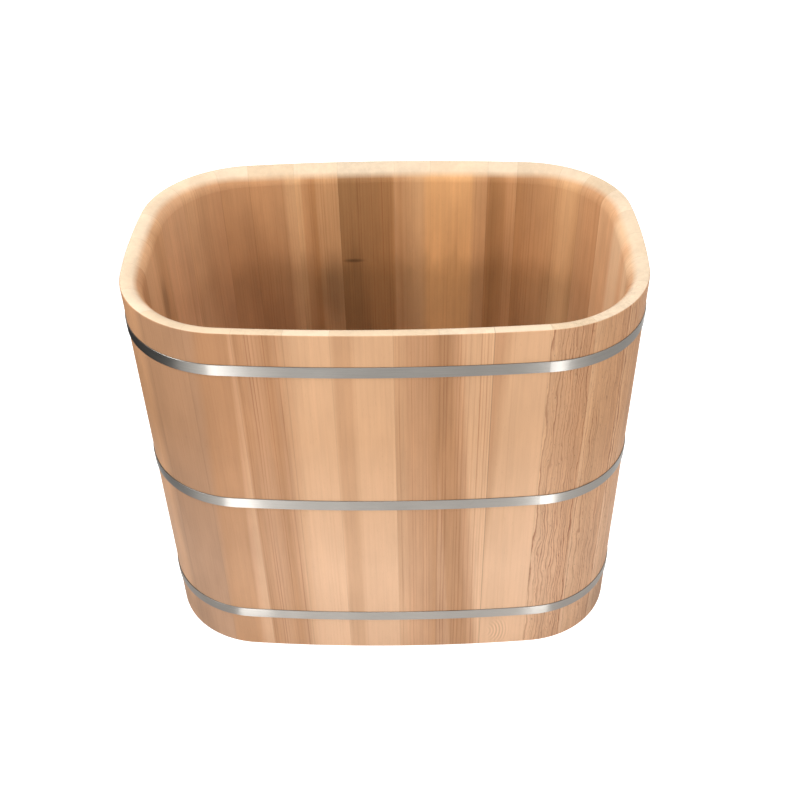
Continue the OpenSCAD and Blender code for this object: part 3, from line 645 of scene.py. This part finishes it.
# The camera looks down on the front from over the middle, and the studio is white: a matt
# floor, an even sky, and softboxes round the tub. Places are in metres, turns in degrees.
studio = {
    "camera": {"lens": 55.68, "sensor": 36,  # millimetres
               "place": (0.06533, -2.22346, 2.15975), "turn": 1.0691, "tip": 52.535, "roll": -1.2332},
    "floor": "#bcbab7", "floorSize": (30, 30),
    "glow": 1,                            # makes the floor that is seen as white as the sky
    "sky": {"diffuse": 1.12, "seen": 1},  # what lights matt surfaces, and what is seen or mirrored
    "target": (0, 0, 0.45),               # what the softboxes face
    "softboxes": {
        "front softbox": {
            "azimuth": 0, "elevation": 22, "distance": 3, "size": (0.5, 1.2), "power": 13},
        "upper left softbox": {
            "azimuth": -75, "elevation": 42, "distance": 3, "size": (1.2, 1.2), "power": 48},
        "upper right softbox": {
            "azimuth": 75, "elevation": 50, "distance": 3, "size": (1.2, 1.2), "power": 6},
        "overhead softbox": {
            "azimuth": 0, "elevation": 82, "distance": 2.8, "size": (1.6, 1.6), "power": 8},
    },
    # The camera sees neither strips nor cards, but the hoops do. The strips make the bright
    # spots at the front corners. The cards tone down the white that the hoops reflect, and
    # the two dark ones take light off the left end as well.
    "strips": {
        "left strip": {"foot": (-0.35, -0.43, 0), "head": (-0.53, -0.79, 1.1), "width": 0.1, "power": 1.45},
        "left glow": {"foot": (-0.27, -0.43, 0), "head": (-0.4, -0.79, 1.1), "width": 0.1, "power": 0.19},
        "faint glow": {"foot": (-0.17, -0.43, 0), "head": (-0.24, -0.79, 1.1), "width": 0.16, "power": 0.2},
        "right strip": {"foot": (0.37, -0.43, 0), "head": (0.58, -0.79, 1.1), "width": 0.1, "power": 1.5},
    },
    "cards": {
        "standing card": {
            "size": (1.6, 2.4), "place": (-1.5, 0.3, 0.8), "turn": 90, "shade": "#444444", "darkens": True},
        "lying card": {
            "size": (1.1, 2.4), "place": (-1.44, 0.3, 0.002), "shade": "#444444", "darkens": True},
        "front card": {"size": (2.0, 1.2), "place": (0.1, -1.8, 0.002), "shade": "#747270"},
        "right card": {"size": (1.1, 2.0), "place": (1.5, -0.15, 0.002), "shade": "#bdbbb9"},
        "left foot card": {"size": (0.34, 0.76), "place": (-0.57, -0.18, 0.002), "shade": "#dbd9d7"},
        "right foot card": {"size": (0.34, 0.76), "place": (0.57, -0.18, 0.002), "shade": "#faf9f8"},
    },
}

shot = studio["camera"]
cameraData = bpy.data.cameras.new("camera")
cameraData.lens = shot["lens"]
cameraData.sensor_width = shot["sensor"]
camera = bpy.data.objects.new("camera", cameraData)
bpy.context.scene.collection.objects.link(camera)
camera.matrix_world = (
    Matrix.Translation(shot["place"])
    @ Matrix.Rotation(math.radians(shot["turn"]), 4, "Z")
    @ Matrix.Rotation(math.radians(shot["tip"]), 4, "X")
    @ Matrix.Rotation(math.radians(shot["roll"]), 4, "Z"))
bpy.context.scene.camera = camera
bpy.context.scene.view_settings.view_transform = "Standard"


# A flat rectangle in the studio, which isn't part of the tub
def stagePanel(name, size, place, turn, material):
    mesh = bpy.data.meshes.new(name)
    shape = bmesh.new()
    bmesh.ops.create_grid(shape, x_segments=1, y_segments=1, size=0.5)
    bmesh.ops.scale(shape, vec=(size[0], size[1], 1), verts=shape.verts)
    shape.to_mesh(mesh)
    shape.free()
    panel = bpy.data.objects.new(name, mesh)
    bpy.context.scene.collection.objects.link(panel)
    panel.location = place
    panel.rotation_euler = (0, math.radians(turn), 0)
    panel.data.materials.append(material)
    return panel


# A material for the studio, with nothing in it yet
def mattTree(name):
    material = bpy.data.materials.new(name)
    material.use_nodes = True
    material.node_tree.nodes.clear()
    return material, material.node_tree


# 1 for rays that show the studio itself: from the camera, and off or through shiny surfaces
def seenDirectly(tree):
    path = addNode(tree, "LightPath", {}, {})
    seen = addNode(tree, "Math", {"operation": "MAXIMUM"},
                   {0: path.outputs["Is Camera Ray"], 1: path.outputs["Is Glossy Ray"]})
    return addNode(tree, "Math", {"operation": "MAXIMUM"},
                   {0: seen.outputs[0], 1: path.outputs["Is Transmission Ray"]}).outputs[0]


floorMaterial, tree = mattTree("matt white floor")
paint = addNode(tree, "BsdfDiffuse", {"Color": hexColour(studio["floor"])}, {})
glow = addNode(tree, "Emission", {"Color": (1, 1, 1, 1), "Strength": studio["glow"]}, {})
both = addNode(tree, "AddShader", {}, {0: paint.outputs[0], 1: glow.outputs[0]})
mixed = addNode(tree, "MixShader", {}, {0: seenDirectly(tree), 1: paint.outputs[0], 2: both.outputs[0]})
addNode(tree, "OutputMaterial", {}, {"Surface": mixed.outputs[0]})
stagePanel("floor", studio["floorSize"], (0, 0, 0), 0, floorMaterial)

world = bpy.data.worlds.new("studio")
bpy.context.scene.world = world
world.use_nodes = True
tree = world.node_tree
tree.nodes.clear()
strength = addNode(tree, "MapRange", {"To Min": studio["sky"]["diffuse"], "To Max": studio["sky"]["seen"]},
                   {"Value": seenDirectly(tree)})
sky = addNode(tree, "Background", {"Color": (1, 1, 1, 1)}, {"Strength": strength.outputs[0]})
addNode(tree, "OutputWorld", {}, {"Surface": sky.outputs[0]})


# A rectangular lamp that faces its target
def softbox(name, place, target, size, power):
    data = bpy.data.lights.new(name, "AREA")
    data.shape = "RECTANGLE"
    data.size, data.size_y = size
    data.energy = power
    lamp = bpy.data.objects.new(name, data)
    bpy.context.scene.collection.objects.link(lamp)
    lamp.location = place
    lamp.rotation_euler = (Vector(target) - Vector(place)).to_track_quat("-Z", "Y").to_euler()
    return lamp


for name, box in studio["softboxes"].items():
    a, e = math.radians(box["azimuth"]), math.radians(box["elevation"])
    target = Vector(studio["target"])
    reach = Vector((math.sin(a) * math.cos(e), -math.cos(a) * math.cos(e), math.sin(e)))
    softbox(name, target + reach * box["distance"], target, box["size"], box["power"])
for name, strip in studio["strips"].items():
    foot, head = Vector(strip["foot"]), Vector(strip["head"])
    place = (foot + head) / 2
    facing = (head - foot).cross(Vector((0, 0, 1)).cross(head - foot))
    lamp = softbox(name, place, place + facing, (strip["width"], (head - foot).length), strip["power"])
    lamp.visible_camera = lamp.visible_diffuse = False
for name, card in studio["cards"].items():
    cloth, tree = mattTree(name + " cloth")
    paint = addNode(tree, "BsdfDiffuse", {"Color": hexColour(card["shade"])}, {})
    addNode(tree, "OutputMaterial", {}, {"Surface": paint.outputs[0]})
    panel = stagePanel(name, card["size"], card["place"], card.get("turn", 0), cloth)
    panel.visible_camera = panel.visible_shadow = False
    panel.visible_diffuse = card.get("darkens", False)
print("camera, floor and light placed")
